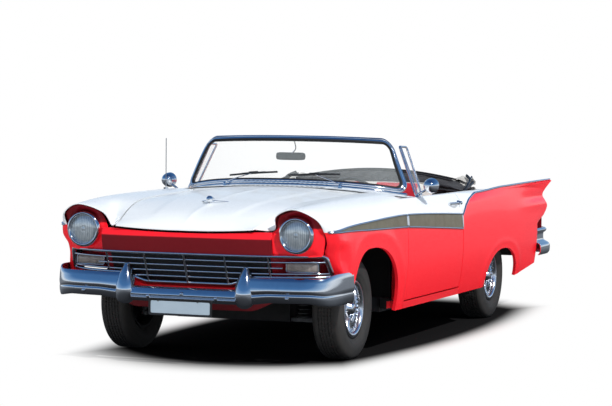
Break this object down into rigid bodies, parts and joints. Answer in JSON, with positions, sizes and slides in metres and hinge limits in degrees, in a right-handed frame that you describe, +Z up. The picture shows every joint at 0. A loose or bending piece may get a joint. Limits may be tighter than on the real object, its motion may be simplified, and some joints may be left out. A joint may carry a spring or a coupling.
{
  "type": "convertible car",
  "caption": "Long low two-door convertible with tail fins, wrapped windshield, folded top and hooded round headlamps, with opening doors, hood and trunk.",
  "frame": {"origin": "centre of the bounding box in plan, at the height of the ground the tyres stand on", "axes": "-Y towards the car's front, +Y towards its tail, +X to the car's own left, +Z up"},
  "size_m": [2.074, 5.276, 1.4175],
  "materials": {
    "chassis_black": "satin",
    "steel": "satin",
    "cast_iron": "rough",
    "cabin_floor": "carpet",
    "white_paint": "gloss",
    "red_paint": "gloss",
    "chrome": "mirror bright",
    "lamp_glass": "clear ribbed",
    "plate_paint": "semi-gloss",
    "clear_glass": "clear",
    "black_plastic": "gloss",
    "seat_vinyl": "soft sheen",
    "top_fabric": "matte weave",
    "red_lens": "clear red",
    "tyre_rubber": "matte"
  },
  "bodies": {
    "body_shell": {"frame": "chassis_black", "front_suspension": "steel", "rear_axle": "steel", "exhaust": "steel", "fuel_tank": "chassis_black", "engine": "cast_iron", "radiator": "chassis_black", "floor": "cabin_floor", "cowl": "white_paint", "front_fender_left": "white_paint", "front_fender_right": "white_paint", "front_panel": "red_paint", "grille": "chrome", "headlamps": "lamp_glass", "parking_lamps": "lamp_glass", "front_bumper": "chrome", "number_plate": "plate_paint", "windshield_frame": "chrome", "windshield_glass": "clear_glass", "inside_mirror": "chrome", "wipers": "black_plastic", "dashboard": "black_plastic", "steering_column": "steel", "front_seat": "seat_vinyl", "rear_seat": "seat_vinyl", "folded_top": "top_fabric", "quarter_left": "red_paint", "quarter_right": "red_paint", "rear_panel": "red_paint", "tail_lamps": "red_lens", "rear_bumper": "chrome", "antenna": "chrome"},
    "steering_linkage": {"steering_linkage": "steel"},
    "knuckle_left": {"knuckle_left": "steel"},
    "knuckle_right": {"knuckle_right": "steel"},
    "wheel_front_left": {"wheel_front_left": "chrome", "tyre_front_left": "tyre_rubber"},
    "wheel_front_right": {"wheel_front_right": "chrome", "tyre_front_right": "tyre_rubber"},
    "wheel_rear_left": {"wheel_rear_left": "chrome", "tyre_rear_left": "tyre_rubber"},
    "wheel_rear_right": {"wheel_rear_right": "chrome", "tyre_rear_right": "tyre_rubber"},
    "door_left": {"door_left": "red_paint", "door_fittings_left": "chrome"},
    "door_right": {"door_right": "red_paint", "door_fittings_right": "chrome"},
    "hood": {"hood": "white_paint"},
    "trunk_lid": {"trunk_lid": "white_paint"},
    "steering_wheel": {"steering_wheel": "black_plastic"}
  },
  "joints": [
    {"name": "steer_left", "type": "hinge", "parent": "body_shell", "child": "knuckle_left", "pos_m": [0.66, -1.768, 0.326], "axis": [0, 0, 1], "range_deg": [-30, 30]},
    {"name": "steer_right", "type": "hinge", "parent": "body_shell", "child": "knuckle_right", "pos_m": [-0.66, -1.768, 0.326], "axis": [0, 0, 1], "range_deg": [-30, 30]},
    {"name": "tie_rod_slide", "type": "slide", "parent": "body_shell", "child": "steering_linkage", "axis": [1, 0, 0], "range_m": [-0.08, 0.08]},
    {"name": "steering_turn", "type": "hinge", "parent": "body_shell", "child": "steering_wheel", "pos_m": [0.38, -0.58, 0.935], "axis": [0, 0.8829, 0.4695], "range_deg": [-500, 500]},
    {"name": "spin_front_left", "type": "hinge", "parent": "knuckle_left", "child": "wheel_front_left", "pos_m": [0.742, -1.768, 0.326], "axis": [1, 0, 0], "continuous": true},
    {"name": "spin_front_right", "type": "hinge", "parent": "knuckle_right", "child": "wheel_front_right", "pos_m": [-0.742, -1.768, 0.326], "axis": [1, 0, 0], "continuous": true},
    {"name": "spin_rear_left", "type": "hinge", "parent": "body_shell", "child": "wheel_rear_left", "pos_m": [0.752, 1.229, 0.326], "axis": [1, 0, 0], "continuous": true},
    {"name": "spin_rear_right", "type": "hinge", "parent": "body_shell", "child": "wheel_rear_right", "pos_m": [-0.752, 1.229, 0.326], "axis": [1, 0, 0], "continuous": true},
    {"name": "door_left_hinge", "type": "hinge", "parent": "body_shell", "child": "door_left", "pos_m": [0.934, -1.092, 0.635], "axis": [0, 0, -1], "range_deg": [0, 65]},
    {"name": "door_right_hinge", "type": "hinge", "parent": "body_shell", "child": "door_right", "pos_m": [-0.934, -1.092, 0.635], "axis": [0, 0, 1], "range_deg": [0, 65]},
    {"name": "hood_hinge", "type": "hinge", "parent": "body_shell", "child": "hood", "pos_m": [0, -2.582, 0.86104], "axis": [1, 0, 0], "range_deg": [0, 45]},
    {"name": "trunk_hinge", "type": "hinge", "parent": "body_shell", "child": "trunk_lid", "pos_m": [0, 1.328, 0.97388], "axis": [1, 0, 0], "range_deg": [0, 60]}
  ],
  "couplings": [
    {"joint": "steer_right", "follows": "steer_left", "ratio": 1},
    {"joint": "tie_rod_slide", "follows": "steer_left", "m_per_rad": -0.143},
    {"joint": "steering_turn", "follows": "steer_left", "ratio": -16}
  ]
}
